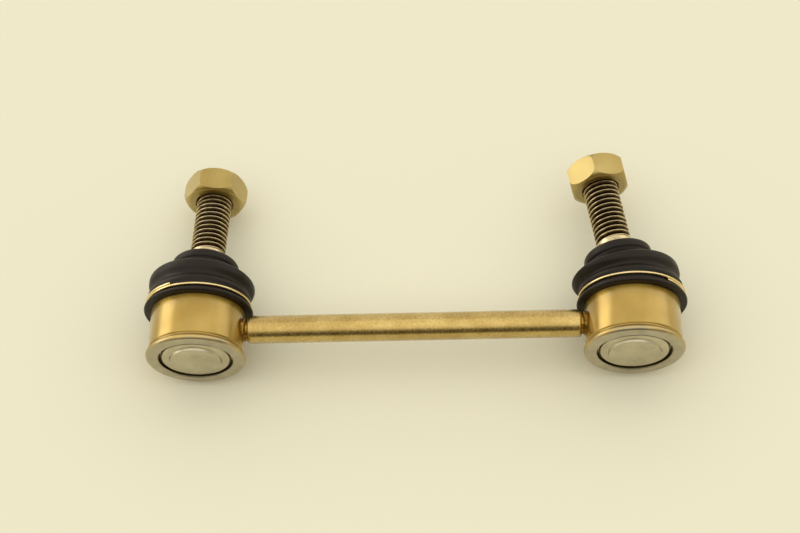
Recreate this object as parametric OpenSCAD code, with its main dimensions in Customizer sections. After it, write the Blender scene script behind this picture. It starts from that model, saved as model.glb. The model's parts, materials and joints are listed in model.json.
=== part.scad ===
// Stabilizer link: a straight rod with a sealed ball joint at each end.
// It lies on its side: +X runs along the rod, the studs point towards +Y and +Z is up.
// The origin is on the surface it lies on, below the middle of its bounding box.
// Each ball joint is drawn about its ball centre, with +Z along the housing axis.

/* [Link] */
// Distance between the two ball centres
link_length = 121; // [90:1:200]
// Diameter of the rod
rod_d = 7.8; // [6.5:0.1:10]
// Setback of the rod axis from the ball centres, towards the covers
rod_setback = 1.5; // [0:0.1:2.5]
// Chamfer on the ends of the rod
rod_chamfer = 0.4; // [0.2:0.1:0.6]
// Diameter of the weld neck between rod and housing
weld_d = 6; // [4:0.1:6.4]
// Length of the weld neck
weld_len = 1; // [0.6:0.1:3]
// Height of the flash that the weld pushes up on the housing
weld_flash = 0.5; // [0.2:0.1:0.6]

/* [Ball and bearing] */
// Diameter of the ball
ball_d = 16; // [14:0.5:20]
// Running clearance of the ball in its bearing
ball_gap = 0.05; // [0.02:0.01:0.1]
// Wall of the plastic bearing at the middle of the ball
bearing_wall = 1.9; // [1.5:0.1:3]
// Height that the bearing wraps above the ball centre
bearing_wrap = 4.4; // [3:0.1:4.6]
// Floor of the bearing below the ball
bearing_floor = 0.3; // [0.2:0.1:1]
// Diameter of the grease well in the bearing floor
grease_d = 8; // [5:0.5:10]
// Swing of the stud from the housing axis, to any side
swing = 22; // [15:1:26]

/* [Housing] */
// Wall of the housing round the bearing
housing_wall = 3.25; // [2.8:0.05:4]
// Clearance of the pieces that are pressed into the housing
press_gap = 0.05; // [0.01:0.01:0.08]
// Height of the boot shoulder above the ball centre
shoulder_h = 3.5; // [3:0.1:4.5]
// Depth of the groove that holds the boot
groove_depth = 1.45; // [1:0.05:1.6]
// Height of that groove
groove_h = 2.9; // [2.6:0.1:3.4]
// Height of the rim above the groove
rim_h = 1; // [0.8:0.1:1.5]
// How far the rim stands out over the groove
rim_proud = 0.55; // [0.3:0.05:0.8]
// Clearance between the mouth and the neck of the stud at full swing
mouth_gap = 0.5; // [0.3:0.1:0.8]
// Width of the ledge that carries the cover
ledge = 1.3; // [1:0.1:1.6]
// Thickness of the rolled lip
lip_t = 1.4; // [1.2:0.1:1.8]
// How far the rolled lip stands out from the housing wall
lip_proud = 0.65; // [0.3:0.05:1]
// Radius of the rolled edge
lip_round = 1.2; // [0.8:0.1:1.2]
// How far the lip reaches over the rim of the cover
lip_over = 1.05; // [0.8:0.05:1.2]
// Depth of the crease between the rolled lip and the housing wall
crease_depth = 0.4; // [0.2:0.05:0.6]
// Width of the bottom of the crease
crease_w = 0.3; // [0.2:0.05:0.5]

/* [Cover] */
// Thickness of the cover's rim
cover_t = 1.2; // [1:0.1:1.6]
// Width of the open groove between cover and lip
cover_gap = 0.65; // [0.3:0.05:0.8]
// Depth of the cover's face below the lip
cover_recess = 0.4; // [0.2:0.1:0.8]
// Diameter of the raised centre
boss_d = 14; // [10:0.5:15]
// Height of the raised centre
boss_h = 0.7; // [0.5:0.1:1.5]
// Crown of the raised centre
boss_crown = 0.15; // [0.1:0.05:0.4]

/* [Stud] */
// Diameter of the neck above the ball
neck_d = 8.8; // [8:0.1:9.2]
// Height of the bracket face above the ball centre
seat_h = 20.5; // [20:0.1:23]
// Diameter of the collar that carries the bracket
collar_d = 14; // [13:0.5:15]
// Thickness of the collar
collar_t = 1.8; // [1.4:0.1:2]
// Diameter of the shank below the collar
shank_d = 11; // [10.4:0.1:11.4]
// Diameter of the plain land above the collar
land_d = 10.4; // [10.3:0.1:11]
// Length of the plain land
land_len = 3.5; // [2:0.1:4]
// Diameter of the thread
thread_d = 10; // [8:1:10]
// Pitch of the thread
thread_pitch = 1.5; // [1:0.25:1.5]
// Length of the thread
thread_len = 27.2; // [22:0.2:32]
// Chamfer on the tip of the thread
tip_chamfer = 1; // [0.5:0.1:1.4]
// Width across flats of the key socket in the tip
key_af = 5; // [4:0.5:6]
// Depth of the key socket
key_depth = 5; // [3:0.5:6]

/* [Nut] */
// Width across flats
nut_af = 15.8; // [13:0.1:17]
// Height of the nut
nut_h = 7.8; // [6.4:0.1:10]
// Height of the rounded crown on each face of the nut
nut_crown = 3; // [2:0.1:3]
// Width of the crown inside the flats
nut_round = 0.95; // [0.6:0.05:1.2]
// Depth of the countersinks of its thread
nut_sink = 0.5; // [0.2:0.1:0.8]
// Distance from the bracket face to the nut
nut_at = 21.7; // [12:0.1:22]
// Running clearance of the nut on the thread
nut_gap = 0.05; // [0.02:0.01:0.1]
// Turn of the left nut about its stud
left_nut_turn = 7; // [0:1:60]
// Turn of the right nut about its stud
right_nut_turn = 20; // [0:1:60]

/* [Boot] */
// Clearance between the rubber and the pieces that move in it
boot_gap = 0.3; // [0.2:0.05:0.4]
// Wall of the bead that the wire ring squeezes
bead_wall = 2.25; // [2:0.05:3]
// How far the flange stands out from the housing wall
flange_proud = 2.05; // [1.6:0.05:2.6]
// Thickness of the flange
flange_t = 1.2; // [1:0.1:1.4]
// How far the big fold stands out from the housing wall
fold_proud = 1.7; // [1.2:0.1:2]
// Height of the widest part of the big fold above the ball centre
fold_h = 12.6; // [12:0.1:12.8]
// Height from there to the top of the fold
fold_rise = 1.8; // [1.8:0.1:2.4]
// Depth of the fold, across
fold_depth = 6; // [5.4:0.1:6.2]
// How far the waist below the fold lies inside it
fold_waist = 0.95; // [0.4:0.05:1.1]
// Wall of the fold
boot_wall = 1.7; // [1.2:0.1:1.7]
// Wall of the upper lip round the collar
lip_wall = 2.3; // [1.8:0.1:2.4]
// Radius of the upper lip's outer edge
lip_edge = 1.3; // [0.8:0.1:1.4]
// Depth of the two grooves below the upper lip
lip_groove = 0.5; // [0.2:0.1:0.6]
// Height of the rib between the two grooves above the ball centre
rib_h = 16.6; // [16:0.1:16.8]
// Height from the rib to the groove on each side of it
rib_step = 0.7; // [0.5:0.05:0.8]
// Diameter of the wire of the lower ring
wire_d = 0.7; // [0.6:0.05:1]
// Gap between the turns of the wire
wire_gap = 0.1; // [0.05:0.05:0.2]
// Height of the lower turn above the foot of its seat
wire_lift = 0.8; // [0.6:0.05:0.9]
// Length of the wire, in degrees round the boot
wire_turn = 460; // [400:10:520]
// Where the upper end of the left wire lies
left_wire_start = 114; // [0:1:360]
// Where the upper end of the right wire lies
right_wire_start = 311; // [0:1:360]
// Height of the ring inside the upper lip
lip_ring_h = 1.9; // [1.6:0.1:2.2]
// Clearance of that ring on the shank
lip_ring_gap = 0.1; // [0.05:0.01:0.1]

/* [Rest pose] */
// Swing of the left stud to the right
left_yaw = 2.5; // [-12:0.5:12]
// Lift of the left stud
left_pitch = -5.5; // [-8:0.5:8]
// Swing of the right stud to the right
right_yaw = -9.5; // [-12:0.5:12]
// Lift of the right stud
right_pitch = -0.5; // [-8:0.5:8]

/* [Hidden] */
$fn = 64;
ENDS = ["left", "right"];
PIECES = ["weld", "housing", "bearing", "cover", "boot", "clamp_ring", "lip_ring", "ball", "stud", "nut"];

gold = "#c8a24a";
bare_steel = "#a9a69c";
thread_steel = "#5d5850";
rubber_black = "#1d1b1a";
wire_brass = "#d8b35a";
plastic_white = "#e8e6df";

// Overlap of cutting tools past the face they cut
cut = 1;
// Depth of a metric thread, as a share of its pitch
thread_depth = 0.6134;
// Steps round a faceted sweep, and along a quarter arc
sweep_steps = 40;
wire_steps = 46;
wire_sides = 8;
arc_steps = 5;

// Radii and heights of the bearing and the housing
ball_r = ball_d / 2;
socket_r = ball_r + ball_gap;
bearing_r = socket_r + bearing_wall;
bore_r = bearing_r + press_gap;
housing_r = bore_r + housing_wall;
ledge_r = bore_r + ledge;
cover_r = ledge_r - press_gap;
lip_hole_r = ledge_r - lip_over;
lip_r = housing_r + lip_proud;
bearing_bottom = -ball_r - bearing_floor;
cover_front = bearing_bottom - cover_t;
lip_face = cover_front - lip_t;
cover_face = lip_face + cover_recess;
boss_face = cover_face - boss_h;
neck_groove_r = housing_r - groove_depth;
rim_r = neck_groove_r + rim_proud;
groove_top = shoulder_h + groove_h;
mouth_h = groove_top + rim_h;
bearing_seat_h = bearing_wrap + press_gap;

// Radius of the conical mouth that clears the neck of the stud at full swing
function mouth_r(h) = (neck_d / 2 + mouth_gap) / cos(swing) + h * tan(swing);

// Heights along the stud
neck_end = mouth_h * cos(swing) + mouth_r(mouth_h) * sin(swing) + mouth_gap;
collar_base = seat_h - collar_t;
shank_start = neck_end + (shank_d - neck_d);
land_top = seat_h + land_len;
tip_h = land_top + thread_len;
nut_base = seat_h + nut_at;
nut_corner_r = nut_af / 2 / cos(30);
nut_crown_r = nut_af / 2 - nut_round;
nut_bore_r = thread_d / 2 + nut_gap;

// Radii and heights of the boot and its rings
collar_r = collar_d / 2;
boot_bore_r = neck_groove_r + 2 * press_gap;
boot_bottom = shoulder_h + press_gap;
flange_r = housing_r + flange_proud;
wire_seat_r = boot_bore_r + bead_wall;
wire_pitch = wire_d + wire_gap;
wire_slope = wire_d / 4;
wire_groove_start = boot_bottom + flange_t + wire_slope;
wire_groove_end = wire_groove_start + 3 * wire_d;
wire_h = wire_groove_start + wire_lift;
wire_path_r = wire_seat_r + wire_d / 2 + 2 * press_gap;
fold_r = housing_r + fold_proud;
lip_bore_r = collar_r + boot_gap;
upper_lip_r = lip_bore_r + lip_wall;
lip_top = seat_h - press_gap;
lip_ring_r = collar_r;
lip_ring_top = collar_base - boot_gap;
lip_ring_base = lip_ring_top - lip_ring_h;
lip_shelf_top = lip_ring_base - boot_gap;
lip_shelf_r = shank_d / 2 + 2 * boot_gap;

// Height over which the boot turns from the housing axis to the stud axis
bend_start = mouth_h - rim_h;
bend_end = lip_shelf_top;

// Place of the ball centres in the part's frame
function yaw(end) = end == "left" ? left_yaw : right_yaw;
function pitch(end) = end == "left" ? left_pitch : right_pitch;
function side(end) = end == "left" ? -1 : 1;
function along(end) = cos(yaw(end)) * cos(pitch(end));
function reach(end) = tip_h * along(end) + (thread_d / 2 - tip_chamfer) * sqrt(1 - pow(along(end), 2));
front_y = boss_face - boss_crown;
back_y = max([for (end = ENDS) reach(end)]);
centre_y = -(front_y + back_y) / 2;
centre_z = max([
    for (end = ENDS, p = boot_outline())
    turned([0, p.x, p.y], yaw(end) * bend(p.y), pitch(end) * bend(p.y)).y
]);

// Points of an elliptic arc, from angle a to angle b
function arc(centre, rx, ry, a, b) =
    [for (i = [0:arc_steps]) let (t = a + (b - a) * i / arc_steps) centre + [rx * cos(t), ry * sin(t)]];

// Share of the stud's tilt that the boot has at a height
function smooth(t) = t * t * (3 - 2 * t);
function bend(h) = smooth(min(1, max(0, (h - bend_start) / (bend_end - bend_start))));

// A point turned about the ball centre: yaw first, then pitch. Local -Y is up.
function turned(p, yaw, pitch) =
    let (x = p.x * cos(yaw) + p.z * sin(yaw), z = p.z * cos(yaw) - p.x * sin(yaw))
    [x, p.y * cos(pitch) - z * sin(pitch), p.y * sin(pitch) + z * cos(pitch)];

// Outline of the boot, up its outside and down its inside
function boot_outline() =
    let (
        flange_round = flange_t / 2,
        fold_centre = [fold_r - fold_depth, fold_h],
        seat_top = wire_groove_end + wire_slope
    )
    concat(
        [[boot_bore_r, boot_bottom]],
        arc([flange_r - flange_round, boot_bottom + flange_round], flange_round, flange_round, -90, 90),
        [[wire_seat_r, wire_groove_start], [wire_seat_r, wire_groove_end]],
        [[wire_seat_r + wire_slope, seat_top], [fold_r - fold_waist / 2, seat_top + wire_d]],
        [[fold_r - fold_waist, (seat_top + fold_h) / 2]],
        arc(fold_centre, fold_depth, fold_rise, 0, 90),
        [[upper_lip_r - lip_groove, rib_h - rib_step]],
        [[upper_lip_r, rib_h]],
        [[upper_lip_r - lip_groove, rib_h + rib_step]],
        [[upper_lip_r, rib_h + 2 * rib_step]],
        arc([upper_lip_r - lip_edge, lip_top - lip_edge], lip_edge, lip_edge, 0, 90),
        [[lip_bore_r, lip_top], [lip_bore_r, lip_shelf_top]],
        [[lip_shelf_r, lip_shelf_top], [lip_shelf_r, lip_shelf_top - boot_wall / 2]],
        arc(fold_centre, fold_depth - boot_wall, fold_rise - boot_wall, 90, 0),
        [[rim_r + boot_gap, mouth_h + boot_gap], [rim_r + boot_gap, groove_top - boot_gap]],
        [[boot_bore_r, groove_top - boot_gap]]
    );

// A closed sweep: rings of points, each joined to the next, and the last to the first if looped
module sweep(rings, looped) {
    n = len(rings[0]);
    m = len(rings);
    sides = [
        for (i = [0:m - (looped ? 1 : 2)], j = [0:n - 1])
        let (a = i * n, b = (i + 1) % m * n, k = (j + 1) % n)
        each [[a + j, a + k, b + k], [a + j, b + k, b + j]]
    ];
    caps = looped ? [] : [[for (j = [n - 1:-1:0]) j], [for (j = [0:n - 1]) (m - 1) * n + j]];
    polyhedron([for (ring = rings) each ring], concat(sides, caps), convexity = 8);
}

// Put local shapes at a ball centre, along the housing axis
module at_housing(end) {
    translate([side(end) * link_length / 2, centre_y, centre_z]) rotate([-90, 0, 0]) children();
}

// Put local shapes at a ball centre, along the stud as it lies at rest
module at_stud(end) {
    translate([side(end) * link_length / 2, centre_y, centre_z])
        rotate([pitch(end), 0, 0]) rotate([0, 0, -yaw(end)]) rotate([-90, 0, 0]) children();
}

// Put shapes drawn along +Z on the rod axis, pointing from a ball centre to the rod
module at_rod(end) {
    translate([side(end) * link_length / 2, centre_y - rod_setback, centre_z])
        rotate([0, -side(end) * 90, 0]) children();
}

// Drawn bar with a chamfer at each end
module link_rod() {
    length = link_length - 2 * (housing_r + weld_len);
    r = rod_d / 2;
    color(gold)
        translate([-length / 2, centre_y - rod_setback, centre_z]) rotate([0, 90, 0])
            rotate_extrude() polygon([
                [0, 0], [r - rod_chamfer, 0], [r, rod_chamfer],
                [r, length - rod_chamfer], [r - rod_chamfer, length], [0, length]
            ]);
}

// Weld neck between the rod and the housing wall, with a low flash round its foot
module weld() {
    neck = weld_d / 2;
    foot = neck + weld_flash;
    color(gold)
        difference() {
            rotate_extrude() polygon([
                [0, bore_r + cut], [foot, bore_r + cut], [foot, housing_r],
                [neck, housing_r + weld_flash], [neck, housing_r + weld_len], [0, housing_r + weld_len]
            ]);
            rotate([90, 0, 0]) cylinder(h = 2 * (foot + cut), r = housing_r, center = true);
        }
}

// Turned shell: mouth and boot groove at the top, bore, cover ledge and rolled lip at the bottom
module housing() {
    round_centre = [lip_r - lip_round, lip_face + lip_round];
    crease_r = housing_r - crease_depth;
    crease_h = round_centre.y + lip_r - crease_r;
    rim_edge = rim_proud / 2;
    hole_edge = lip_t / 4;
    color(gold)
        rotate_extrude() polygon(concat(
            [[lip_hole_r, lip_face + hole_edge], [lip_hole_r + hole_edge, lip_face]],
            arc(round_centre, lip_round, lip_round, -90, 0),
            [[crease_r, crease_h], [crease_r, crease_h + crease_w]],
            [[housing_r, crease_h + crease_w + crease_depth / 2], [housing_r, shoulder_h]],
            [[neck_groove_r, shoulder_h], [neck_groove_r, groove_top]],
            [[rim_r, groove_top], [rim_r, mouth_h - rim_edge], [rim_r - rim_edge, mouth_h]],
            [[mouth_r(mouth_h), mouth_h], [mouth_r(bearing_seat_h), bearing_seat_h]],
            [[bore_r, bearing_seat_h], [bore_r, bearing_bottom]],
            [[ledge_r, bearing_bottom], [ledge_r, cover_front], [lip_hole_r, cover_front]]
        ));
}

// Plastic cup that wraps the ball past its middle
module bearing() {
    color(plastic_white)
        difference() {
            translate([0, 0, bearing_bottom]) cylinder(h = bearing_wrap - bearing_bottom, r = bearing_r);
            sphere(r = socket_r);
            translate([0, 0, bearing_bottom - cut]) cylinder(h = ball_r + cut, r = grease_d / 2);
            cylinder(h = mouth_h, r1 = mouth_r(0), r2 = mouth_r(mouth_h));
        }
}

// Pressed disc under the rolled lip, with a raised and crowned centre
module cover() {
    face_r = lip_hole_r - cover_gap;
    boss_r = boss_d / 2;
    edge = cover_t / 4;
    crown_steps = 6;
    crown = [for (i = [0:crown_steps]) let (r = boss_r * i / crown_steps)
        [r, boss_face - boss_crown * (1 - pow(r / boss_r, 2))]];
    well_h = boss_face + cover_t + boss_crown;
    color(bare_steel)
        rotate_extrude() polygon(concat(
            crown,
            [[boss_r + boss_h / 2, cover_face], [face_r - edge, cover_face], [face_r, cover_face + edge]],
            [[face_r, cover_front], [cover_r, cover_front], [cover_r, bearing_bottom]],
            [[boss_r + boss_h / 2 + edge, bearing_bottom], [boss_r, well_h], [0, well_h]]
        ));
}

// Hollow rubber boot, turned from the housing axis to the stud axis up its height
module boot(end) {
    outline = boot_outline();
    rings = [
        for (i = [0:sweep_steps - 1])
        let (a = 360 * i / sweep_steps)
        [for (p = outline)
            turned([p.x * cos(a), p.x * sin(a), p.y], yaw(end) * bend(p.y), pitch(end) * bend(p.y))]
    ];
    color(rubber_black) sweep(rings, true);
}

// Spring wire round the bead of the boot, with its ends side by side
module clamp_ring(start) {
    rings = [
        for (i = [0:wire_steps])
        let (turn = wire_turn * i / wire_steps, a = -(start + turn))
        let (h = wire_h + wire_pitch * (1 - turn / 360))
        [for (j = [0:wire_sides - 1])
            let (t = -360 * j / wire_sides, r = wire_path_r + wire_d / 2 * cos(t))
            [r * cos(a), r * sin(a), h + wire_d / 2 * sin(t)]]
    ];
    color(wire_brass) sweep(rings, false);
}

// Slip ring inside the upper lip, which lets the stud turn in the boot
module lip_ring() {
    color(bare_steel)
        translate([0, 0, lip_ring_base])
            difference() {
                cylinder(h = lip_ring_h, r = lip_ring_r);
                translate([0, 0, -cut]) cylinder(h = lip_ring_h + 2 * cut, r = shank_d / 2 + lip_ring_gap);
            }
}

module ball() {
    color(bare_steel) sphere(r = ball_r);
}

// Neck, shank, bracket collar, plain land and thread, seated on the ball. The thread is drawn as rings.
module stud() {
    thread_r = thread_d / 2;
    root_r = thread_r - thread_depth * thread_pitch;
    crest = thread_pitch / 8;
    root = thread_pitch / 4;
    flank = (thread_pitch - crest - root) / 2;
    turns = floor((thread_len - tip_chamfer) / thread_pitch);
    grooves = [
        for (i = [0:turns - 1])
        let (h = land_top + crest + i * thread_pitch)
        each [[thread_r, h], [root_r, h + flank], [root_r, h + flank + root], [thread_r, h + 2 * flank + root]]
    ];
    key_r = key_af / 2 / cos(30);
    runout = (land_d - thread_d) / 2;
    color(thread_steel)
        difference() {
            rotate_extrude() polygon(concat(
                [[0, 0], [neck_d / 2, 0], [neck_d / 2, neck_end], [shank_d / 2, shank_start]],
                [[shank_d / 2, collar_base], [collar_r, collar_base], [collar_r, seat_h]],
                [[land_d / 2, seat_h], [land_d / 2, land_top - runout], [thread_r, land_top]],
                grooves,
                [[thread_r, tip_h - tip_chamfer], [thread_r - tip_chamfer, tip_h], [0, tip_h]]
            ));
            sphere(r = socket_r);
            translate([0, 0, tip_h - key_depth]) cylinder(h = key_depth + cut, r = key_r, $fn = 6);
        }
}

// Hexagon nut, crowned on both faces
module nut() {
    crown_w = nut_corner_r + press_gap - nut_crown_r;
    color(gold)
        translate([0, 0, nut_base])
            difference() {
                intersection() {
                    cylinder(h = nut_h, r = nut_corner_r, $fn = 6);
                    rotate_extrude() polygon(concat(
                        [[0, 0]],
                        arc([nut_crown_r, nut_crown], crown_w, nut_crown, -90, 0),
                        arc([nut_crown_r, nut_h - nut_crown], crown_w, nut_crown, 0, 90),
                        [[0, nut_h]]
                    ));
                }
                translate([0, 0, -cut]) cylinder(h = nut_h + 2 * cut, r = nut_bore_r);
                for (face = [0, 1])
                    translate([0, 0, face * nut_h]) rotate([face * 180, 0, 0]) translate([0, 0, -cut])
                        cylinder(h = cut + nut_sink, r1 = nut_bore_r + nut_sink + cut, r2 = nut_bore_r);
            }
}

module left_weld() { at_rod("left") weld(); }
module left_housing() { at_housing("left") housing(); }
module left_bearing() { at_housing("left") bearing(); }
module left_cover() { at_housing("left") cover(); }
module left_boot() { at_housing("left") boot("left"); }
module left_clamp_ring() { at_housing("left") clamp_ring(left_wire_start); }
module left_lip_ring() { at_stud("left") lip_ring(); }
module left_ball() { at_housing("left") ball(); }
module left_stud() { at_stud("left") stud(); }
module left_nut() { at_stud("left") rotate(left_nut_turn) nut(); }

module right_weld() { at_rod("right") weld(); }
module right_housing() { at_housing("right") housing(); }
module right_bearing() { at_housing("right") bearing(); }
module right_cover() { at_housing("right") cover(); }
module right_boot() { at_housing("right") boot("right"); }
module right_clamp_ring() { at_housing("right") clamp_ring(right_wire_start); }
module right_lip_ring() { at_stud("right") lip_ring(); }
module right_ball() { at_housing("right") ball(); }
module right_stud() { at_stud("right") stud(); }
module right_nut() { at_stud("right") rotate(right_nut_turn) nut(); }

link_rod();
left_weld();
left_housing();
left_bearing();
left_cover();
left_boot();
left_clamp_ring();
left_lip_ring();
left_ball();
left_stud();
left_nut();
right_weld();
right_housing();
right_bearing();
right_cover();
right_boot();
right_clamp_ring();
right_lip_ring();
right_ball();
right_stud();
right_nut();
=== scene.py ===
import json
from math import asin, atan2, cos, hypot, pi, radians, sin

import bpy
from mathutils import Matrix, Vector


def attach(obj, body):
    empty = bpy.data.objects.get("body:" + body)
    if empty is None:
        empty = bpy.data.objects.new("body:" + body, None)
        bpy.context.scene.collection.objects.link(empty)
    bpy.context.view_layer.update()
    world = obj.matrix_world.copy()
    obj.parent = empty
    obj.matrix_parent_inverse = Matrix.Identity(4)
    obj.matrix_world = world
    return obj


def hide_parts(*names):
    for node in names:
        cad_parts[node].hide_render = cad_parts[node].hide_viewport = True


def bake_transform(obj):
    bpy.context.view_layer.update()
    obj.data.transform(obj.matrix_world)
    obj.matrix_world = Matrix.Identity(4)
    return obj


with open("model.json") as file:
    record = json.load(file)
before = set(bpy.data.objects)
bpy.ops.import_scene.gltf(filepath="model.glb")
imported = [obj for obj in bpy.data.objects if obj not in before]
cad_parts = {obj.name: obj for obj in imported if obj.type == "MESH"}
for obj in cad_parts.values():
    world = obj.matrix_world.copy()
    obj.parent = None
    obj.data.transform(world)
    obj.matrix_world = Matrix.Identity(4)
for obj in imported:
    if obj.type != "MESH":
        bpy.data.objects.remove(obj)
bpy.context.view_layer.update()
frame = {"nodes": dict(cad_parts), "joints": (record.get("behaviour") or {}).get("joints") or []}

# The looks of a stabilizer link: a drawn rod with a sealed ball joint at each end.
# Each piece of a joint is modelled along local +Z, about the ball centre, in millimetres, and then
# placed. Radii end in _R and heights in _H, and most repeat the part's own.
MM = 0.001
ENDS = ("left", "right")
JOINTS = {joint["name"]: joint for joint in frame["joints"]}
ROUND = 96
MERGE = 0.001 * MM
TOOL_SPARE = 1.0
FINE_EDGE = 0.1

# Housing
HOUSING_R = 13.25
LIP_R = 13.9
LIP_FACE_H = -10.9
LIP_ROUND = 1.2
LIP_HOLE_R = 10.25
LIP_EASE = 0.35
CREASE_R = 12.85
CREASE_H = -8.65
CREASE_W = 0.3
CREASE_FLAT = 0.1
CREASE_EDGE_H = -7.9
CREASE_ROUND = 0.4
SHOULDER_H = 3.5
GROOVE_R = 11.8
GROOVE_TOP_H = 6.4
RIM_R = 12.35
MOUTH_H = 7.4
MOUTH_R = 8.27
SEAT_H = 4.45
SEAT_R = 7.08
BORE_R = 10.0
LEDGE_R = 11.3
# Where the bore's painted shade and the rubbed lip give way to plating
RECESS_DEPTH = 0.12
LIP_FINISH_H = CREASE_H - 0.02

# Cover
COVER_R = 11.25
COVER_BACK_H = -8.3
COVER_FRONT_H = -9.5
COVER_FACE_H = -10.5
COVER_FACE_R = 9.6
COVER_EASE = 0.3
BOSS_R = 7.0
BOSS_FACE_H = -11.2
BOSS_EASE = 0.3
BOSS_CROWN = 0.15
BOSS_SKIN = 1.0
BOSS_FLARE = 0.75
HUB_R = 0.02

# Boot, and the heights between which it bends from the housing axis to the stud axis
BEAD_BORE_R = 11.9
BEAD_BOTTOM_H = 3.55
BEAD_CLEAR = 0.3
FLANGE_R = 15.3
FLANGE_T = 1.2
WIRE_SEAT_R = 14.15
WIRE_SEAT_H = (4.95, 6.2, 7.1)
WIRE_SEAT_EASE = 0.2
LOW_RIB = 0.45
LOW_RIB_H = 8.0
LOW_RIB_EASE = 0.3
FOLD_R = 14.95
FOLD_H = 12.6
FOLD_DEPTH = 6.0
FOLD_RISE = 1.8
FOLD_WAIST = 1.3
FOLD_WAIST_H = 9.7
FOLD_FLANK = 0.15
FOLD_FLANK_H = 11.6
FOLD_EDGE = 0.05
FOLD_EDGE_RISE = 0.45
BOOT_WALL = 1.7
TOP_BORE_R = 7.3
TOP_R = 9.6
TOP_ROUND = 1.3
TOP_H = 20.45
RIB_DEPTH = 0.5
RIB_H = 16.6
RIB_STEP = 0.7
SHELF_R = 6.1
SHELF_H = 16.2
BEND_START_H = 6.4
BEND_END_H = 16.2
BOOT_ROUND = 120

# Wire ring: a little more than one turn, with the lap where the photograph has it, in degrees
WIRE_R = 0.35
WIRE_PATH_R = 14.6
WIRE_H = 5.725
WIRE_PITCH = 0.8
WIRE_TURN = 460
WIRE_START = {"left": 114, "right": 311}
WIRE_EDGE = 0.12

# Stud
BALL_CLEAR_R = 8.05
NECK_R = 4.4
NECK_END_H = 10.46
SHANK_R = 5.5
SHANK_START_H = 12.66
COLLAR_R = 7.0
COLLAR_BASE_H = 18.7
BRACKET_H = 20.5
LAND_R = 5.2
LAND_TOP_H = 24.0
LAND_EASE = 0.35
THREAD_R = 5.0
ROOT_R = 4.08
ROOT_EASE = 0.06
CREST_EASE = 0.08
CREST_DROP = 0.05
FLANK_EASE = 0.03
PITCH = 1.5
THREAD_LAP = 0.15
THREAD_SPARE = 0.3
TIP_H = 51.2
TIP_CHAMFER = 1.0
KEY_AF = 5.0
KEY_DEPTH = 5.0
STUD_EDGE = 0.12

# Nut
NUT_AF = 15.8
NUT_BASE_H = 42.2
NUT_T = 7.8
NUT_FLAT_R = 6.95
NUT_CROWN = 3.0
NUT_SPARE = 0.05
NUT_BORE_R = 5.05
NUT_SINK = 0.5
NUT_TURN = {"left": 7, "right": 20}
NUT_EDGE = 0.2

# Rod
ROD_R = 3.9
ROD_SETBACK = 1.5
ROD_HALF = 46.25
ROD_CHAMFER = 0.4
ROD_EDGE = 0.15


def ball_centre(end):
    return Vector(JOINTS[end + "_spin"]["pos_m"])


def stud_axis(end):
    return Vector(JOINTS[end + "_spin"]["axis"]).normalized()


def housing_place(end):
    """Local +Z to the housing axis, which is the part's +Y."""
    return Matrix.Translation(ball_centre(end)) @ Matrix.Rotation(radians(-90), 4, "X")


def stud_place(end):
    """Local +Z to the stud axis as it lies at rest."""
    a = stud_axis(end)
    yaw, pitch = asin(a.x), atan2(a.z, a.y)
    return (Matrix.Translation(ball_centre(end)) @ Matrix.Rotation(pitch, 4, "X")
            @ Matrix.Rotation(-yaw, 4, "Z") @ Matrix.Rotation(radians(-90), 4, "X"))


# Modelling by hand


def start_piece():
    """Nothing selected, object mode."""
    if bpy.context.object and bpy.context.object.mode != "OBJECT":
        bpy.ops.object.mode_set(mode="OBJECT")
    bpy.ops.object.select_all(action="DESELECT")


def only(piece):
    """Selects one piece alone."""
    start_piece()
    piece.select_set(True)
    bpy.context.view_layer.objects.active = piece


def bake_place(piece, place):
    """Moves the piece, with the move in its mesh and the object left at the origin."""
    piece.matrix_world = place
    only(piece)
    bpy.ops.object.transform_apply(location=True, rotation=True, scale=True)


def arc(centre_r, centre_h, rx, ry, first, last, steps):
    """Points of an elliptic arc in a turned profile, in degrees."""
    angles = [radians(first + (last - first) * i / steps) for i in range(steps + 1)]
    return [(centre_r + rx * cos(t), centre_h + ry * sin(t)) for t in angles]


def wave(r, h, r_last, h_last, steps):
    """Points of half a wave in a turned profile, level at both ends."""
    shares = [i / steps for i in range(steps + 1)]
    return [(r + (r_last - r) * (1 - cos(pi * s)) / 2, h + (h_last - h) * s) for s in shares]


def turned_form(name, profile, closed, around=ROUND):
    """A ring of the first radius, extruded and resized up the profile. A closed profile comes back to
    its first ring; an open one is filled at both ends."""
    start_piece()
    r, h = profile[0]
    bpy.ops.mesh.primitive_circle_add(vertices=around, radius=r * MM, location=(0, 0, h * MM))
    piece = bpy.context.object
    piece.name = name
    bpy.ops.object.transform_apply(location=True, rotation=True, scale=True)
    bpy.ops.object.mode_set(mode="EDIT")
    bpy.ops.mesh.select_all(action="SELECT")
    if not closed:
        bpy.ops.mesh.edge_face_add()
    for r_next, h_next in profile[1:]:
        bpy.ops.mesh.extrude_region_move(TRANSFORM_OT_translate={"value": (0, 0, (h_next - h) * MM)})
        share = r_next / r
        bpy.ops.transform.resize(value=(share, share, 1), center_override=(0, 0, h_next * MM))
        r, h = r_next, h_next
    if closed:
        bpy.ops.mesh.select_all(action="SELECT")
        bpy.ops.mesh.remove_doubles(threshold=MERGE)
    bpy.ops.mesh.select_all(action="SELECT")
    bpy.ops.mesh.normals_make_consistent(inside=False)
    bpy.ops.object.mode_set(mode="OBJECT")
    return piece


def apply_modifier(piece, kind, **settings):
    """Adds one modifier with its settings, and applies it."""
    only(piece)
    made = piece.modifiers.new(kind.lower(), kind)
    for key, value in settings.items():
        setattr(made, key, value)
    bpy.ops.object.modifier_apply(modifier=made.name)


def smooth(piece, angle=35):
    """Smooth shading over every edge flatter than the angle, in degrees."""
    only(piece)
    bpy.ops.object.shade_smooth_by_angle(angle=radians(angle))


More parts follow.
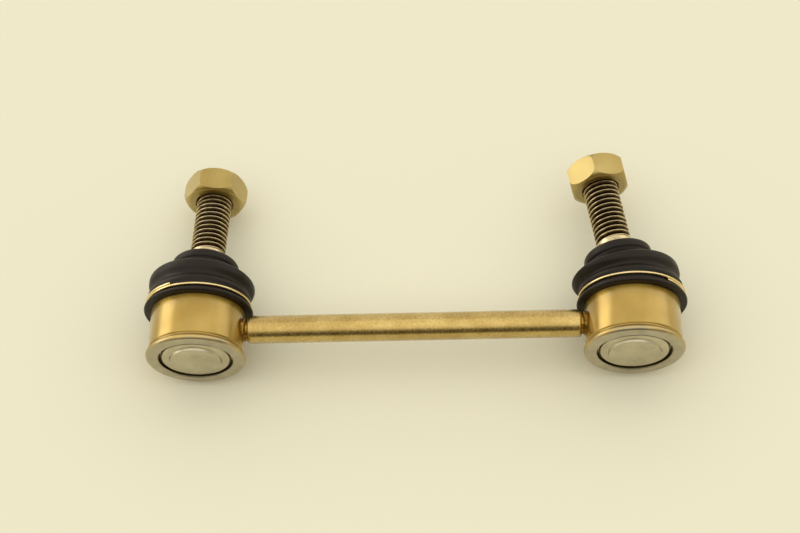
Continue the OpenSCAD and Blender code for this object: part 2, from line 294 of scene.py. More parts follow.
def soften(piece, width, segments=3, angle=28):
    """A small round on every sharp edge, and smooth shading between the edges left."""
    apply_modifier(piece, "BEVEL", width=width * MM, segments=segments, limit_method="ANGLE",
                   angle_limit=radians(angle), use_clamp_overlap=True, harden_normals=False)
    smooth(piece)


def cut_with(piece, tool, operation):
    """One exact Boolean, after which the tool is gone."""
    apply_modifier(piece, "BOOLEAN", operation=operation, object=tool, solver="EXACT")
    bpy.data.objects.remove(tool)


def keep_lathe(piece):
    """Radius and height of each point in the lathe, in metres, for the marks that turning leaves."""
    marks = piece.data.attributes.new("lathe", "FLOAT_VECTOR", "POINT")
    for point, mark in zip(piece.data.vertices, marks.data):
        mark.vector = (hypot(point.co.x, point.co.y), 0, point.co.z)


def placed_copy(piece, name, place):
    """A copy with its own mesh, put in its place."""
    copy = piece.copy()
    copy.data = piece.data.copy()
    copy.name = name
    bpy.context.scene.collection.objects.link(copy)
    bake_place(copy, place)
    return copy


def dress(piece, body, node):
    """The body that carries the piece, if any, and the node it stands for, which it hides."""
    if body:
        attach(piece, body)
    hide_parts(node)


# Finishes

# The range in which most of a noise texture's values lie
SPAN = {"From Min": 0.3, "From Max": 0.7}


def srgb(code):
    """Linear colour of an sRGB hex value."""
    parts = [int(code[i:i + 2], 16) / 255 for i in (1, 3, 5)]
    return tuple(c / 12.92 if c <= 0.04045 else ((c + 0.055) / 1.055) ** 2.4 for c in parts) + (1.0,)


def per_mm(size):
    """Texture scale at which a feature is about this many millimetres wide."""
    return 1 / (size * MM)


def add_node(tree, kind, output=None, inputs=None, stops=(), **settings):
    """Adds a shader node with its settings and (place, hex colour) stops, sets or links its inputs, and
    gives back the output asked for."""
    made = tree.nodes.new("ShaderNode" + kind)
    for key, value in settings.items():
        setattr(made, key, value)
    for key, value in (inputs or {}).items():
        if isinstance(value, bpy.types.NodeSocket):
            tree.links.new(value, made.inputs[key])
        else:
            made.inputs[key].default_value = value
    for i, (place, code) in enumerate(stops):
        elements = made.color_ramp.elements
        element = elements[i] if i < len(elements) else elements.new(place)
        element.position = place
        element.color = srgb(code)
    return None if output is None else made.outputs[output]


def new_finish(name):
    """An empty material, and its node tree."""
    finish = bpy.data.materials.new(name)
    finish.use_nodes = True
    finish.node_tree.nodes.clear()
    return finish, finish.node_tree


def yellow_zinc(name, tints, roughness, stretch):
    """Steel with yellow chromate over zinc: a satin gold that drifts between straw and olive, under a
    clear film. Tool rings round the part's Y axis stretch the highlights along that axis."""
    finish, tree = new_finish(name)
    place = add_node(tree, "TexCoord", "Object")
    lathe = add_node(tree, "Attribute", "Vector", attribute_name="lathe")
    drift = add_node(tree, "TexNoise", "Fac", {"Vector": place, "Scale": per_mm(9), "Detail": 1.0})
    rings = add_node(tree, "TexNoise", "Fac", {"Vector": lathe, "Scale": per_mm(0.25), "Detail": 2.0})
    blush = add_node(tree, "TexNoise", "Fac", {"Vector": place, "Scale": per_mm(4), "Detail": 2.0})
    surface = add_node(tree, "BsdfPrincipled", "BSDF", {
        "Base Color": add_node(tree, "ValToRGB", "Color", {"Fac": drift},
                               stops=[(0.3, tints[0]), (0.7, tints[1])]),
        "Roughness": add_node(tree, "MapRange", "Result", {
            "Value": blush, **SPAN, "To Min": roughness, "To Max": roughness + 0.06}),
        "Normal": add_node(tree, "Bump", "Normal", {
            "Strength": 0.1, "Distance": 0.02 * MM, "Height": rings}),
        "Tangent": add_node(tree, "Tangent", "Tangent", direction_type="RADIAL", axis="Y"),
        "Metallic": 1.0, "Coat Weight": 1.0, "Coat Roughness": 0.15,
        "Anisotropic": stretch, "Anisotropic Rotation": 0.25})
    add_node(tree, "OutputMaterial", inputs={"Surface": surface})
    return finish


def drawn_zinc():
    """Cold-drawn bar with yellow chromate over a pickled skin: grainy, with faint die lines along it."""
    finish, tree = new_finish("yellow_zinc_drawn_bar")
    place = add_node(tree, "TexCoord", "Object")
    along = add_node(tree, "Mapping", "Vector", {"Vector": place, "Scale": (0.06, 1, 1)})
    lines = add_node(tree, "TexNoise", "Fac", {"Vector": along, "Scale": per_mm(0.7), "Detail": 3.0})
    grain = add_node(tree, "TexNoise", "Fac", {"Vector": place, "Scale": per_mm(0.6), "Detail": 5.0})
    drift = add_node(tree, "TexNoise", "Fac", {"Vector": place, "Scale": per_mm(6), "Detail": 3.0})
    both = add_node(tree, "Math", "Value", {0: grain, 1: drift}, operation="ADD")
    half = add_node(tree, "Math", "Value", {0: both, 1: 0.5}, operation="MULTIPLY")
    skin = add_node(tree, "Math", "Value", {0: lines, 1: grain}, operation="ADD")
    surface = add_node(tree, "BsdfPrincipled", "BSDF", {
        "Base Color": add_node(tree, "ValToRGB", "Color", {"Fac": half},
                               stops=[(0.36, "#a88b45"), (0.5, "#b99c54"), (0.64, "#cab06a")]),
        "Roughness": add_node(tree, "MapRange", "Result", {
            "Value": grain, **SPAN, "To Min": 0.22, "To Max": 0.34}),
        "Normal": add_node(tree, "Bump", "Normal", {
            "Strength": 0.25, "Distance": 0.05 * MM, "Height": skin}),
        "Metallic": 1.0, "Coat Weight": 1.0, "Coat Roughness": 0.2})
    add_node(tree, "OutputMaterial", inputs={"Surface": surface})
    return finish


def rolled_steel(name, tints, ring_mm, low, high):
    """Steel that a tool has pressed, rolled or ground: a warm grey with fine rings."""
    finish, tree = new_finish(name)
    place = add_node(tree, "TexCoord", "Object")
    lathe = add_node(tree, "Attribute", "Vector", attribute_name="lathe")
    drift = add_node(tree, "TexNoise", "Fac", {"Vector": place, "Scale": per_mm(5), "Detail": 4.0})
    rings = add_node(tree, "TexNoise", "Fac", {"Vector": lathe, "Scale": per_mm(ring_mm), "Detail": 2.0})
    surface = add_node(tree, "BsdfPrincipled", "BSDF", {
        "Base Color": add_node(tree, "ValToRGB", "Color", {"Fac": drift},
                               stops=[(0.3, tints[0]), (0.7, tints[1])]),
        "Roughness": add_node(tree, "MapRange", "Result", {
            "Value": drift, **SPAN, "To Min": low, "To Max": high}),
        "Normal": add_node(tree, "Bump", "Normal", {
            "Strength": 0.2, "Distance": 0.03 * MM, "Height": rings}),
        "Metallic": 1.0})
    add_node(tree, "OutputMaterial", inputs={"Surface": surface})
    return finish


def rolled_lip():
    """Lip that a roller has turned in over the cover: gold at its edge, rubbed through to steel on its
    face."""
    finish, tree = new_finish("roller_burnished_lip")
    place = add_node(tree, "TexCoord", "Object")
    lathe = add_node(tree, "Attribute", "Vector", attribute_name="lathe")
    radius = add_node(tree, "SeparateXYZ", "X", {"Vector": lathe})
    drift = add_node(tree, "TexNoise", "Fac", {"Vector": place, "Scale": per_mm(4), "Detail": 4.0})
    rings = add_node(tree, "TexNoise", "Fac", {"Vector": lathe, "Scale": per_mm(0.3), "Detail": 2.0})
    shift = add_node(tree, "MapRange", "Result", {
        "Value": drift, **SPAN, "To Min": -0.35 * MM, "To Max": 0.35 * MM})
    reach = add_node(tree, "Math", "Value", {0: radius, 1: shift}, operation="ADD")
    plated = add_node(tree, "MapRange", "Result", {
        "Value": reach, "From Min": (LIP_R - 0.7) * MM, "From Max": (LIP_R + 0.3) * MM})
    steel = add_node(tree, "ValToRGB", "Color", {"Fac": drift},
                     stops=[(0.3, "#a69d86"), (0.7, "#beb69f")])
    gold = add_node(tree, "ValToRGB", "Color", {"Fac": drift},
                    stops=[(0.3, "#b39549"), (0.7, "#c7aa5e")])
    surface = add_node(tree, "BsdfPrincipled", "BSDF", {
        # The Mix node's colour sockets have the same names as its other ones, so they go by number.
        "Base Color": add_node(tree, "Mix", 2, {0: plated, 6: steel, 7: gold}, data_type="RGBA"),
        "Roughness": add_node(tree, "MapRange", "Result", {
            "Value": drift, **SPAN, "To Min": 0.28, "To Max": 0.4}),
        "Normal": add_node(tree, "Bump", "Normal", {
            "Strength": 0.2, "Distance": 0.03 * MM, "Height": rings}),
        "Metallic": 1.0})
    add_node(tree, "OutputMaterial", inputs={"Surface": surface})
    return finish


def moulded_rubber():
    """Chloroprene rubber from a satin mould: near black, with a soft broad sheen and a fine skin
    grain."""
    finish, tree = new_finish("moulded_black_rubber")
    place = add_node(tree, "TexCoord", "Object")
    bloom = add_node(tree, "TexNoise", "Fac", {"Vector": place, "Scale": per_mm(4), "Detail": 4.0})
    grain = add_node(tree, "TexNoise", "Fac", {"Vector": place, "Scale": per_mm(0.3), "Detail": 3.0})
    surface = add_node(tree, "BsdfPrincipled", "BSDF", {
        "Base Color": add_node(tree, "ValToRGB", "Color", {"Fac": bloom},
                               stops=[(0.3, "#17110a"), (0.7, "#221910")]),
        "Roughness": add_node(tree, "MapRange", "Result", {
            "Value": bloom, **SPAN, "To Min": 0.36, "To Max": 0.5}),
        "Normal": add_node(tree, "Bump", "Normal", {
            "Strength": 0.15, "Distance": 0.04 * MM, "Height": grain}),
        "IOR": 1.52, "Specular IOR Level": 0.22})
    add_node(tree, "OutputMaterial", inputs={"Surface": surface})
    return finish


def rolled_thread():
    """Rolled thread in quenched steel, stained at random, with painted shade in the roots and a painted
    highlight on the crests and the land.
    """
    finish, tree = new_finish("rolled_thread_steel")
    place = add_node(tree, "TexCoord", "Object")
    crest = add_node(tree, "Attribute", "Fac", attribute_name="crest")
    stain = add_node(tree, "TexNoise", "Fac", {"Vector": place, "Scale": per_mm(1.6), "Detail": 4.0})
    shift = add_node(tree, "MapRange", "Result", {
        "Value": stain, **SPAN, "To Min": -0.12, "To Max": 0.12})
    # Painted shade in the roots rising to a painted highlight on the crests, shifted by random stains
    worn = add_node(tree, "Math", "Value", {0: crest, 1: shift}, operation="ADD", use_clamp=True)
    surface = add_node(tree, "BsdfPrincipled", "BSDF", {
        "Base Color": add_node(tree, "ValToRGB", "Color", {"Fac": worn}, stops=[
            (0.02, "#1b140b"), (0.6, "#4a3a24"), (0.84, "#947f58"), (0.96, "#d3c39c")]),
        "Roughness": add_node(tree, "MapRange", "Result", {
            "Value": worn, "To Min": 0.55, "To Max": 0.3}),
        "Normal": add_node(tree, "Bump", "Normal", {
            "Strength": 0.2, "Distance": 0.05 * MM, "Height": stain}),
        "Metallic": 1.0})
    add_node(tree, "OutputMaterial", inputs={"Surface": surface})
    return finish


def spring_wire():
    """Zinc-plated spring wire: bright gold. Its drawing marks are too fine to show, so they are drawn as
    coarse, faint specks."""
    finish, tree = new_finish("plated_spring_wire")
    place = add_node(tree, "TexCoord", "Object")
    specks = add_node(tree, "TexNoise", "Fac", {"Vector": place, "Scale": per_mm(3), "Detail": 1.0})
    surface = add_node(tree, "BsdfPrincipled", "BSDF", {
        "Base Color": add_node(tree, "ValToRGB", "Color", {"Fac": specks},
                               stops=[(0.3, "#e0c88c"), (0.7, "#eddaa6")]),
        "Roughness": add_node(tree, "MapRange", "Result", {
            "Value": specks, **SPAN, "To Min": 0.22, "To Max": 0.34}),
        "Metallic": 1.0})
    add_node(tree, "OutputMaterial", inputs={"Surface": surface})
    return finish


def weld_bead():
    """Weld under the plating: the same gold, stained brown and pitted."""
    finish, tree = new_finish("plated_weld_bead")
    place = add_node(tree, "TexCoord", "Object")
    pits = add_node(tree, "TexNoise", "Fac", {"Vector": place, "Scale": per_mm(0.7), "Detail": 5.0})
    surface = add_node(tree, "BsdfPrincipled", "BSDF", {
        "Base Color": add_node(tree, "ValToRGB", "Color", {"Fac": pits},
                               stops=[(0.35, "#6b5120"), (0.55, "#9a7a34"), (0.72, "#c9a653")]),
        "Normal": add_node(tree, "Bump", "Normal", {
            "Strength": 0.6, "Distance": 0.2 * MM, "Height": pits}),
        "Metallic": 1.0, "Roughness": 0.42})
    add_node(tree, "OutputMaterial", inputs={"Surface": surface})
    return finish


def seat_plastic():
    """Acetal ball seat: off-white, slightly waxy."""
    finish, tree = new_finish("moulded_acetal")
    place = add_node(tree, "TexCoord", "Object")
    cloud = add_node(tree, "TexNoise", "Fac", {"Vector": place, "Scale": per_mm(3), "Detail": 2.0})
    surface = add_node(tree, "BsdfPrincipled", "BSDF", {
        "Base Color": add_node(tree, "ValToRGB", "Color", {"Fac": cloud},
                               stops=[(0.3, "#dfdcd2"), (0.7, "#efece4")]),
        "Roughness": 0.4, "IOR": 1.48})
    add_node(tree, "OutputMaterial", inputs={"Surface": surface})
    return finish


ZINC = yellow_zinc("yellow_zinc_turned_steel", ("#af8f3b", "#be9f4d"), 0.33, 0.9)
NUT_ZINC = yellow_zinc("yellow_zinc_pressed_nut", ("#a68e45", "#b7a058"), 0.4, 0.0)
BAR = drawn_zinc()
LIP_STEEL = rolled_lip()
# Inside the rolled lip: dull, and painted dark brown as the shade in the gap round the cover
RECESS_STEEL = rolled_steel("dull_recess_steel", ("#33290f", "#45391d"), 0.4, 0.5, 0.6)
COVER_STEEL = rolled_steel("pressed_cover_steel", ("#b3ab92", "#c9c0a6"), 0.4, 0.26, 0.36)
BALL_STEEL = rolled_steel("ground_ball_steel", ("#b4b2ad", "#c9c7c2"), 0.2, 0.1, 0.16)
RUBBER = moulded_rubber()
THREAD = rolled_thread()
WIRE = spring_wire()
WELD = weld_bead()
ACETAL = seat_plastic()


# Pieces


def make_housing():
    """Turned shell with a rolled lip; the lip is the second material, and its bore, painted dark brown
    as shade, the third."""
    crease_edge_r = CREASE_R + CREASE_FLAT
    piece = turned_form("housing", [
        (LIP_HOLE_R, LIP_FACE_H + LIP_EASE), (LIP_HOLE_R + LIP_EASE, LIP_FACE_H),
        *arc(LIP_R - LIP_ROUND, LIP_FACE_H + LIP_ROUND, LIP_ROUND, LIP_ROUND, -90, 0, 8),
        (CREASE_R, CREASE_H), (CREASE_R, CREASE_H + CREASE_W),
        *arc(crease_edge_r, CREASE_EDGE_H, HOUSING_R - crease_edge_r, CREASE_ROUND, -90, 0, 5),
        (HOUSING_R, SHOULDER_H), (GROOVE_R, SHOULDER_H), (GROOVE_R, GROOVE_TOP_H),
        (RIM_R, GROOVE_TOP_H), (RIM_R, MOUTH_H), (MOUTH_R, MOUTH_H), (SEAT_R, SEAT_H),
        (BORE_R, SEAT_H), (BORE_R, COVER_BACK_H), (LEDGE_R, COVER_BACK_H), (LEDGE_R, COVER_FRONT_H),
        (LIP_HOLE_R, COVER_FRONT_H), (LIP_HOLE_R, LIP_FACE_H + LIP_EASE),
    ], closed=True)
    soften(piece, FINE_EDGE)
    for finish in (ZINC, LIP_STEEL, RECESS_STEEL):
        piece.data.materials.append(finish)
    for face in piece.data.polygons:
        r, h = hypot(*face.center.xy) / MM, face.center.z / MM
        # Faces of the lip's bore take the painted shade, and faces below the crease take the lip's
        # finish.
        face.material_index = 2 if r < LIP_HOLE_R + RECESS_DEPTH else int(h < LIP_FINISH_H)
    keep_lathe(piece)
    return piece


def make_cover():
    """Pressed disc with a raised, slightly domed centre."""
    shares = [1 - i / 8 for i in range(9)]
    crown = [(BOSS_R * s + HUB_R, BOSS_FACE_H - BOSS_CROWN * (1 - s ** 2)) for s in shares]
    piece = turned_form("cover", [
        (HUB_R, BOSS_FACE_H + BOSS_SKIN), (BOSS_R, BOSS_FACE_H + BOSS_SKIN),
        (BOSS_R + BOSS_FLARE, COVER_BACK_H), (COVER_R, COVER_BACK_H), (COVER_R, COVER_FRONT_H),
        (COVER_FACE_R, COVER_FRONT_H), (COVER_FACE_R, COVER_FACE_H + COVER_EASE),
        (COVER_FACE_R - COVER_EASE, COVER_FACE_H), (BOSS_R + BOSS_EASE, COVER_FACE_H), *crown,
    ], closed=False)
    soften(piece, FINE_EDGE)
    keep_lathe(piece)
    piece.data.materials.append(COVER_STEEL)
    return piece


def boot_share(h):
    """Share of the stud's tilt that the boot has at a height."""
    t = min(1, max(0, (h - BEND_START_H) / (BEND_END_H - BEND_START_H)))
    return t * t * (3 - 2 * t)


def boot_profile():
    """The boot's section: bead, wire seat, big fold, small ribs and top outside, then back inside."""
    flange = FLANGE_T / 2
    fold = (FOLD_R - FOLD_DEPTH, FOLD_H)
    low_rib, waist, flank = FOLD_R - LOW_RIB, FOLD_R - FOLD_WAIST, FOLD_R - FOLD_FLANK
    # Three half waves of four steps each, from the valley over the fold to the top
    ribs = [(TOP_R - RIB_DEPTH * (1 + cos(i * pi / 4)) / 2, RIB_H + RIB_STEP * (i / 4 - 1))
            for i in range(13)]
    bead_r, bead_h = RIM_R + BEAD_CLEAR, GROOVE_TOP_H - BEAD_CLEAR
    return [
        (BEAD_BORE_R, BEAD_BOTTOM_H),
        *arc(FLANGE_R - flange, BEAD_BOTTOM_H + flange, flange, flange, -90, 90, 10),
        *[(WIRE_SEAT_R, h) for h in WIRE_SEAT_H],
        (WIRE_SEAT_R + WIRE_SEAT_EASE, WIRE_SEAT_H[-1] + WIRE_SEAT_EASE),
        (low_rib, LOW_RIB_H - LOW_RIB_EASE),
        *wave(low_rib, LOW_RIB_H, waist, FOLD_WAIST_H, 6),
        *wave(waist, FOLD_WAIST_H, flank, FOLD_FLANK_H, 6)[1:],
        (FOLD_R - FOLD_EDGE, FOLD_FLANK_H + FOLD_EDGE_RISE),
        *arc(*fold, FOLD_DEPTH, FOLD_RISE, 0, 90, 16),
        *ribs,
        *arc(TOP_R - TOP_ROUND, TOP_H - TOP_ROUND, TOP_ROUND, TOP_ROUND, 0, 90, 8),
        (TOP_BORE_R, TOP_H), (TOP_BORE_R, SHELF_H), (SHELF_R, SHELF_H),
        (SHELF_R, SHELF_H - BOOT_WALL / 2),
        *arc(*fold, FOLD_DEPTH - BOOT_WALL, FOLD_RISE - BOOT_WALL, 90, 0, 10),
        (bead_r, MOUTH_H + BEAD_CLEAR), (bead_r, bead_h), (BEAD_BORE_R, bead_h),
        (BEAD_BORE_R, BEAD_BOTTOM_H),
    ]


def make_boot(end):
    """Hollow boot, turned upright and then bent from the housing axis to the stud axis."""
    piece = turned_form(end + "_rubber_boot", boot_profile(), closed=True, around=BOOT_ROUND)
    smooth(piece, angle=60)
    bake_place(piece, housing_place(end))
    upright = Vector((0, 1, 0))
    lean = upright.angle(stud_axis(end))
    across = upright.cross(stud_axis(end)).normalized()
    there = Matrix.Translation(ball_centre(end))
    back = there.inverted()
    base = ball_centre(end).y
    for point in piece.data.vertices:
        share = boot_share((point.co.y - base) / MM)
        point.co = there @ Matrix.Rotation(lean * share, 4, across) @ back @ point.co
    piece.data.update()
    piece.data.materials.append(RUBBER)
    return piece


def make_wire(end):
    """A wire's section, screwed round the bead, with cut ends."""
    start_piece()
    bpy.ops.mesh.primitive_circle_add(
        vertices=16, radius=WIRE_R * MM, fill_type="NOTHING", rotation=(radians(90), 0, 0),
        location=(WIRE_PATH_R * MM, 0, (WIRE_H + WIRE_PITCH) * MM))
    piece = bpy.context.object
    piece.name = end + "_clamp_wire"
    bpy.ops.object.transform_apply(location=True, rotation=True, scale=True)
    apply_modifier(piece, "SCREW", axis="Z", angle=-radians(WIRE_TURN), steps=180, render_steps=180,
                   screw_offset=-WIRE_PITCH * WIRE_TURN / 360 * MM, use_smooth_shade=True)
    only(piece)
    bpy.ops.object.mode_set(mode="EDIT")
    bpy.ops.mesh.select_all(action="DESELECT")
    bpy.ops.mesh.select_mode(type="EDGE")
    bpy.ops.mesh.select_non_manifold(extend=False)
    bpy.ops.mesh.edge_face_add()
    bpy.ops.mesh.select_all(action="SELECT")
    bpy.ops.mesh.normals_make_consistent(inside=False)
    bpy.ops.mesh.select_mode(type="VERT")
    bpy.ops.object.mode_set(mode="OBJECT")
    soften(piece, WIRE_EDGE, segments=2, angle=60)
    bake_place(piece, housing_place(end) @ Matrix.Rotation(-radians(WIRE_START[end]), 4, "Z"))
    piece.data.materials.append(WIRE)
    return piece


def thread_steps():
    """One pitch of an M10 profile, from the middle of a root to the middle of the next."""
    root = PITCH / 8
    flank = (PITCH - PITCH / 8 - PITCH / 4) / 2
    rise = [(ROOT_R, 0), (ROOT_R, root - ROOT_EASE), (ROOT_R + ROOT_EASE, root + FLANK_EASE),
            (THREAD_R - CREST_EASE, root + flank - CREST_DROP), (THREAD_R, root + flank + FLANK_EASE)]
    return rise + [(r, PITCH - h) for r, h in reversed(rise)]


def make_thread():
    """The pitch, screwed up past both ends, trimmed to the stud's tip and socketed."""
    steps = thread_steps()
    first = LAND_TOP_H - PITCH - THREAD_SPARE
    start_piece()
    bpy.ops.mesh.primitive_circle_add(vertices=3, radius=MM, fill_type="NOTHING")
    piece = bpy.context.object
    piece.name = "thread"
    bpy.ops.object.mode_set(mode="EDIT")
    bpy.ops.mesh.select_all(action="SELECT")
    bpy.ops.mesh.merge(type="CENTER")
    bpy.ops.transform.translate(value=(steps[0][0] * MM, 0, first * MM))
    for (r, h), (r_next, h_next) in zip(steps, steps[1:]):
        bpy.ops.mesh.extrude_region_move(
            TRANSFORM_OT_translate={"value": ((r_next - r) * MM, 0, (h_next - h) * MM)})
    bpy.ops.object.mode_set(mode="OBJECT")
    turns = int((TIP_H - first) / PITCH) + 2
    apply_modifier(piece, "SCREW", axis="Z", angle=2 * pi, steps=72, render_steps=72, iterations=turns,
                   screw_offset=PITCH * MM, use_merge_vertices=True, merge_threshold=MERGE)
    only(piece)
    bpy.ops.object.mode_set(mode="EDIT")
    bpy.ops.mesh.select_all(action="SELECT")
    bpy.ops.mesh.remove_doubles(threshold=MERGE)
    for height, below in ((LAND_TOP_H - THREAD_LAP, True), (TIP_H + THREAD_SPARE, False)):
        bpy.ops.mesh.select_all(action="SELECT")
        bpy.ops.mesh.bisect(plane_co=(0, 0, height * MM), plane_no=(0, 0, 1), use_fill=True,
                            clear_inner=below, clear_outer=not below)
    bpy.ops.mesh.select_all(action="SELECT")
    bpy.ops.mesh.normals_make_consistent(inside=False)
    bpy.ops.object.mode_set(mode="OBJECT")
    envelope = turned_form("envelope", [
        (THREAD_R + TOOL_SPARE, LAND_TOP_H - TOOL_SPARE),
        (THREAD_R + TOOL_SPARE, TIP_H - TIP_CHAMFER - TOOL_SPARE),
        (THREAD_R - TIP_CHAMFER, TIP_H)], closed=False)
    cut_with(piece, envelope, "INTERSECT")
    start_piece()
    bpy.ops.mesh.primitive_cylinder_add(vertices=6, radius=KEY_AF / 2 / cos(pi / 6) * MM,
                                        depth=2 * KEY_DEPTH * MM, location=(0, 0, TIP_H * MM))
    cut_with(piece, bpy.context.object, "DIFFERENCE")
    return piece


def make_stud():
    """Neck, shank, collar and land in one turned form, with the thread joined on."""
    neck_start_h = (BALL_CLEAR_R ** 2 - NECK_R ** 2) ** 0.5
    piece = turned_form("stud", [
        (NECK_R, neck_start_h), (NECK_R, NECK_END_H), (SHANK_R, SHANK_START_H),
        (SHANK_R, COLLAR_BASE_H), (COLLAR_R, COLLAR_BASE_H), (COLLAR_R, BRACKET_H), (LAND_R, BRACKET_H),
        (LAND_R, LAND_TOP_H - LAND_EASE), (THREAD_R - THREAD_LAP, LAND_TOP_H)], closed=False)
    soften(piece, STUD_EDGE)
    thread = make_thread()
    only(piece)
    thread.select_set(True)
    bpy.ops.object.join()
    smooth(piece, angle=30)
    # Share of the way from root to crest, which sets the thread's painted shade and painted highlight
    crest = piece.data.attributes.new("crest", "FLOAT", "POINT")
    for point, mark in zip(piece.data.vertices, crest.data):
        r = hypot(point.co.x, point.co.y) / MM
        mark.value = min(1, max(0, (r - ROOT_R) / (THREAD_R - ROOT_R)))
    piece.data.materials.append(THREAD)
    return piece


def make_nut():
    """Hexagon bar, crowned on both faces and bored."""
    corner_r = NUT_AF / 2 / cos(pi / 6)
    top_h = NUT_BASE_H + NUT_T
    start_piece()
    bpy.ops.mesh.primitive_cylinder_add(
        vertices=6, radius=corner_r * MM, depth=NUT_T * MM, rotation=(0, 0, radians(-90)),
        location=(0, 0, (NUT_BASE_H + NUT_T / 2) * MM))
    piece = bpy.context.object
    piece.name = "nut"
    bpy.ops.object.transform_apply(location=True, rotation=True, scale=True)
    width = corner_r + NUT_SPARE - NUT_FLAT_R
    crown = turned_form("crown", [
        *arc(NUT_FLAT_R, NUT_BASE_H + NUT_CROWN, width, NUT_CROWN, -90, 0, 14),
        *arc(NUT_FLAT_R, top_h - NUT_CROWN, width, NUT_CROWN, 0, 90, 14)], closed=False, around=144)
    cut_with(piece, crown, "INTERSECT")
    wide_r = NUT_BORE_R + NUT_SINK
    bore = turned_form("bore", [
        (wide_r + TOOL_SPARE, NUT_BASE_H - TOOL_SPARE), (wide_r, NUT_BASE_H),
        (NUT_BORE_R, NUT_BASE_H + NUT_SINK), (NUT_BORE_R, top_h - NUT_SINK), (wide_r, top_h),
        (wide_r + TOOL_SPARE, top_h + TOOL_SPARE)], closed=False)
    cut_with(piece, bore, "DIFFERENCE")
    soften(piece, NUT_EDGE, angle=20)
    apply_modifier(piece, "WEIGHTED_NORMAL", weight=100, keep_sharp=True)
    keep_lathe(piece)
    piece.data.materials.append(NUT_ZINC)
    return piece


def make_rod():
    """Drawn bar with a chamfer at each end."""
    piece = turned_form("drawn_rod", [
        (ROD_R - ROD_CHAMFER, -ROD_HALF), (ROD_R, -ROD_HALF + ROD_CHAMFER),
        (ROD_R, ROD_HALF - ROD_CHAMFER), (ROD_R - ROD_CHAMFER, ROD_HALF)], closed=False)
    soften(piece, ROD_EDGE)
    centre = (ball_centre("left") + ball_centre("right")) / 2
    bake_place(piece, Matrix.Translation(centre - Vector((0, ROD_SETBACK * MM, 0)))
               @ Matrix.Rotation(radians(90), 4, "Y"))
    piece.data.materials.append(BAR)
    return piece


housing, cover, stud, nut = make_housing(), make_cover(), make_stud(), make_nut()
dress(make_rod(), "link", "link_rod")

for end in ENDS:
    shell = placed_copy(housing, end + "_rolled_housing", housing_place(end))
    dress(shell, "link", end + "_housing")
    plate = placed_copy(cover, end + "_pressed_cover", housing_place(end))
    dress(plate, "link", end + "_cover")
    pin = placed_copy(stud, end + "_threaded_stud", stud_place(end))
    dress(pin, end + "_stud", end + "_stud")
    nut_place = stud_place(end) @ Matrix.Rotation(radians(NUT_TURN[end]), 4, "Z")
    dress(placed_copy(nut, end + "_hexagon_nut", nut_place), end + "_nut", end + "_nut")
    dress(make_wire(end), "link", end + "_clamp_ring")
    boot = make_boot(end)
    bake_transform(boot)
    dress(boot, None, end + "_boot")
    # These nodes show their own solids.
    plain = {"weld": WELD, "bearing": ACETAL, "ball": BALL_STEEL, "lip_ring": BALL_STEEL}
    for node, finish in plain.items():
        mesh = frame["nodes"][end + "_" + node].data
        mesh.materials.clear()
        mesh.materials.append(finish)

for pattern in (housing, cover, stud, nut):
    bpy.data.objects.remove(pattern)


# Floor, light and camera, in metres and watts

LAMP_TINT = "#fffaf0"
LAMP_AIM = Vector((0, 0, 0))


def make_floor():
    """Pale cream paper under the link, without gloss."""
    start_piece()
    bpy.ops.mesh.primitive_plane_add(size=12.0)
    floor = bpy.context.object
    floor.name = "floor"
    paper, tree = new_finish("cream_paper")
    surface = add_node(tree, "BsdfPrincipled", "BSDF", {
        "Base Color": srgb("#ebe9d4"), "Roughness": 0.9, "Specular IOR Level": 0.0})
    add_node(tree, "OutputMaterial", inputs={"Surface": surface})
    floor.data.materials.append(paper)


def make_lamp(name, place, size, power, gloss_only=False):
    """A soft area lamp, aimed at the middle of the floor. A gloss-only one shows in metal and rubber,
    and throws no shadow."""
    lamp = bpy.data.lights.new(name, "AREA")
    lamp.shape = "RECTANGLE"
    lamp.size, lamp.size_y = size
    lamp.energy = power
    lamp.color = srgb(LAMP_TINT)[:3]
    holder = bpy.data.objects.new(name, lamp)
    bpy.context.scene.collection.objects.link(holder)
    holder.visible_diffuse = not gloss_only
    holder.location = place
    holder.rotation_euler = (LAMP_AIM - Vector(place)).to_track_quat("-Z", "Y").to_euler()


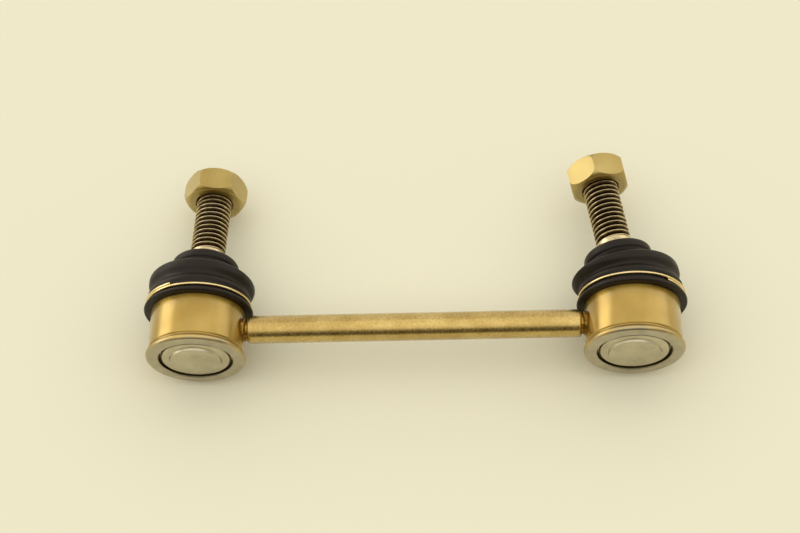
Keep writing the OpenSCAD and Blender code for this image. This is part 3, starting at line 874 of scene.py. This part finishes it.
def make_camera():
    """The photograph's view: elevation, azimuth, roll, distance and focal length."""
    el, az, roll = radians(60.702), radians(-6.146), radians(-6.621)
    distance, focal_px, frame_px, sensor = 0.526621, 1863.343, 800, 36.0
    aim_x, aim_past_ball = -0.003986, 0.017663
    target = Vector((aim_x, ball_centre("left").y + aim_past_ball, ball_centre("left").z))
    ahead = Vector((sin(az) * cos(el), cos(az) * cos(el), -sin(el)))
    right = Vector((cos(az), -sin(az), 0))
    up = right.cross(ahead)
    side = right * cos(roll) + up * sin(roll)
    top = up * cos(roll) - right * sin(roll)
    place = Matrix((side, top, -ahead)).transposed().to_4x4()
    place.translation = target - ahead * distance
    lens = bpy.data.cameras.new("camera")
    lens.sensor_width = sensor
    lens.lens = focal_px / frame_px * sensor
    lens.clip_start, lens.clip_end = 0.01, 20
    camera = bpy.data.objects.new("camera", lens)
    camera.matrix_world = place
    bpy.context.scene.collection.objects.link(camera)
    bpy.context.scene.camera = camera


def make_world():
    """A pale studio that is bright above and darkest at the horizon behind the camera."""
    world = bpy.data.worlds.new("studio")
    world.use_nodes = True
    tree = world.node_tree
    tree.nodes.clear()
    towards = add_node(tree, "TexCoord", "Generated")
    rise = add_node(tree, "VectorMath", "Value", {0: towards, 1: (0, 0.5, 0.5)}, operation="DOT_PRODUCT")
    place = add_node(tree, "Math", "Value", {0: rise, 1: 0.5}, operation="ADD")
    sky = add_node(tree, "ValToRGB", "Color", {"Fac": place}, stops=[
        (0.0, "#3f3a32"), (0.34, "#655f54"), (0.48, "#cdc8bc"), (0.62, "#e4dfd3"), (0.95, "#f3efe4"),
        (1.0, "#e9e4d8")])
    glow = add_node(tree, "Background", "Background", {"Color": sky, "Strength": 1.2})
    add_node(tree, "OutputWorld", inputs={"Surface": glow})
    bpy.context.scene.world = world


make_floor()
make_world()
make_lamp("overhead", (0.0, -0.2, 1.6), (3.0, 2.4), 8.2)
make_lamp("left_strip", (-0.85, 0.3, 0.18), (1.5, 0.66), 4.8, gloss_only=True)
make_lamp("right_strip", (0.8, 0.5, 0.4), (1.2, 0.7), 1.1, gloss_only=True)
make_camera()
bpy.context.scene.view_settings.view_transform = "Standard"
